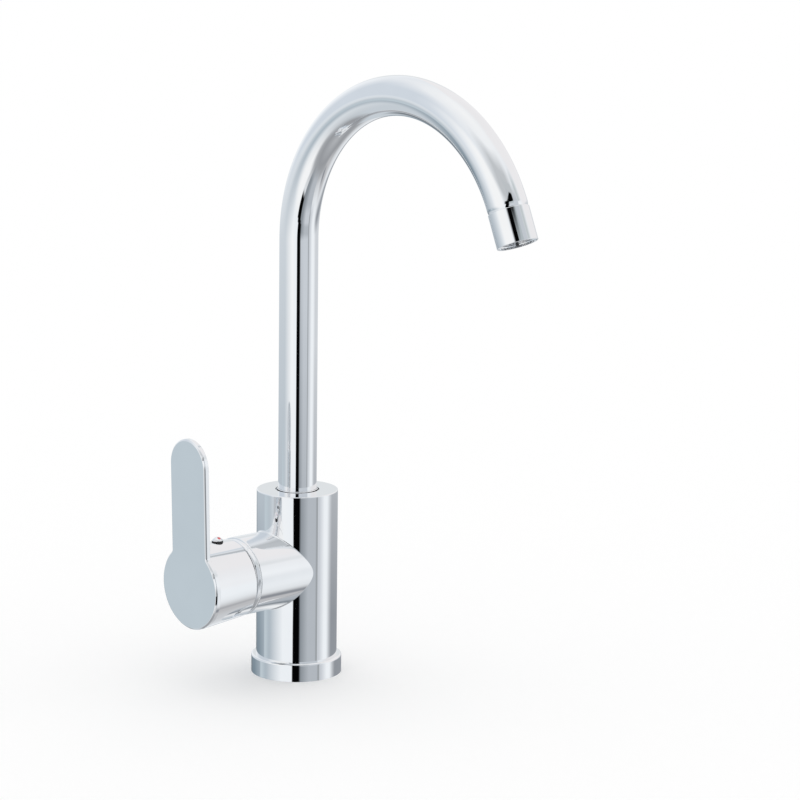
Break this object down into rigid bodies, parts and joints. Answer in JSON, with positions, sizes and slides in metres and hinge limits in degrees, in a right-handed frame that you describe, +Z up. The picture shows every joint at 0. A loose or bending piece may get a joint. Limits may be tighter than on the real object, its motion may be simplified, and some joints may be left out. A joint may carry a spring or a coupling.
{
  "type": "kitchen mixer tap",
  "caption": "Single-lever kitchen mixer tap with a swivelling swan-neck spout, an upright round body and a side lever that sets flow and temperature through a ceramic cartridge.",
  "frame": {"origin": "middle of the base ring's underside, where the tap sits on the worktop", "axes": "+Z up along the body and riser; the spout points along -Y at rest; the lever's axis points along -X"},
  "size_m": [0.1068, 0.2115, 0.3505],
  "materials": {
    "chrome": "polished chrome plate",
    "brass": "turned, unplated",
    "steel": "bright stainless",
    "white_acetal": "moulded, satin",
    "grey_plastic": "moulded, satin",
    "seal_rubber": "matt black",
    "alumina": "lapped",
    "hot_red": "gloss",
    "cold_blue": "gloss"
  },
  "bodies": {
    "fixed_body": {"base_ring": "chrome", "base_gasket": "seal_rubber", "body_casting": "chrome", "spout_thrust_washer": "white_acetal", "spout_glide_ring": "chrome", "spout_locking_screw": "steel", "cartridge_base": "grey_plastic", "cartridge_seals": "seal_rubber", "cartridge_housing": "grey_plastic", "fixed_disc": "alumina", "cartridge_nut": "brass", "dome_ring": "chrome"},
    "swivel_spout": {"spout_tube": "chrome", "spout_foot": "brass", "spout_o_rings": "seal_rubber", "outlet_bush": "chrome", "aerator_collar": "chrome", "aerator_gasket": "seal_rubber", "aerator_insert": "grey_plastic", "aerator_screen": "steel"},
    "mixing_turret": {"turret": "white_acetal", "pivot_pin": "steel"},
    "sliding_disc": {"disc_carrier": "white_acetal", "moving_disc": "alumina"},
    "lever": {"stem": "brass", "lever_handle": "chrome", "lever_screw": "steel", "indicator_plug": "chrome", "plug_sleeve": "seal_rubber", "hot_mark": "hot_red", "cold_mark": "cold_blue"}
  },
  "joints": [
    {"name": "spout_swivel", "type": "hinge", "parent": "fixed_body", "child": "swivel_spout", "pos_m": [0, 0, 0.1], "axis": [0, 0, 1], "continuous": true},
    {"name": "temperature_turn", "type": "hinge", "parent": "fixed_body", "child": "mixing_turret", "pos_m": [-0.03225, 0, 0.063], "axis": [1, 0, 0], "range_deg": [-50, 50]},
    {"name": "lever_lift", "type": "hinge", "parent": "mixing_turret", "child": "lever", "pos_m": [-0.03225, 0, 0.063], "axis": [0, -1, 0], "range_deg": [0, 25]},
    {"name": "disc_slide", "type": "slide", "parent": "mixing_turret", "child": "sliding_disc", "axis": [0, 0, 1], "range_m": [0, 0.0045]}
  ],
  "couplings": [
    {"joint": "disc_slide", "follows": "lever_lift", "m_per_rad": 0.0103}
  ]
}
